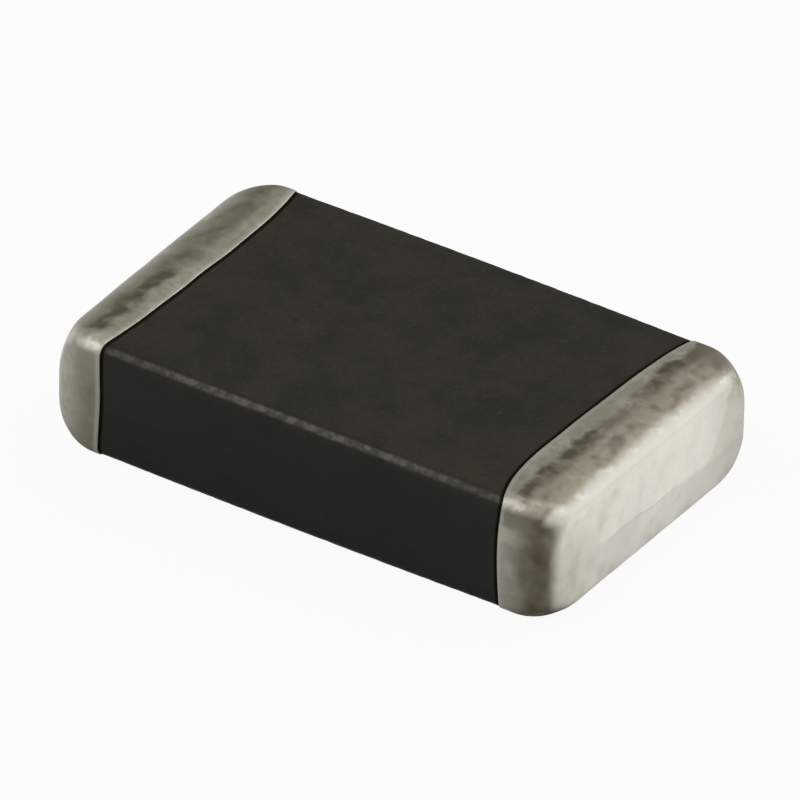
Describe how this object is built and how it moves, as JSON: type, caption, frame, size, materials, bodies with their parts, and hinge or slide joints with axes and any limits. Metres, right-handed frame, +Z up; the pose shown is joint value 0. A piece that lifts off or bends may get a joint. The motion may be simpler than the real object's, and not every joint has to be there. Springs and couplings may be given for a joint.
{
  "type": "surface-mount multilayer varistor",
  "caption": "Rectangular surface-mount varistor chip: a dark zinc oxide block with printed inner electrodes and a tin-plated wraparound termination at each end.",
  "frame": {"origin": "on the plane that the chip rests on, under the middle of the block", "axes": "+X along the chip from its left to its right termination, +Y across it towards the back, +Z up through its thickness"},
  "size_m": [0.0082, 0.005, 0.0019],
  "materials": {
    "zinc_oxide_ceramic": "matt sintered surface, olive black",
    "electrode_metal": "fired silver-palladium print",
    "fired_silver": "matt fired silver",
    "nickel_plating": "matt nickel",
    "tin_plating": "satin tin with brown-grey tarnish"
  },
  "bodies": {
    "root": {"ceramic_body": "zinc_oxide_ceramic", "inner_electrode_01": "electrode_metal", "inner_electrode_02": "electrode_metal", "inner_electrode_03": "electrode_metal", "inner_electrode_04": "electrode_metal", "inner_electrode_05": "electrode_metal", "inner_electrode_06": "electrode_metal", "inner_electrode_07": "electrode_metal", "inner_electrode_08": "electrode_metal", "inner_electrode_09": "electrode_metal", "inner_electrode_10": "electrode_metal", "silver_base_left": "fired_silver", "silver_base_right": "fired_silver", "nickel_barrier_left": "nickel_plating", "nickel_barrier_right": "nickel_plating", "tin_finish_left": "tin_plating", "tin_finish_right": "tin_plating"}
  },
  "joints": []
}
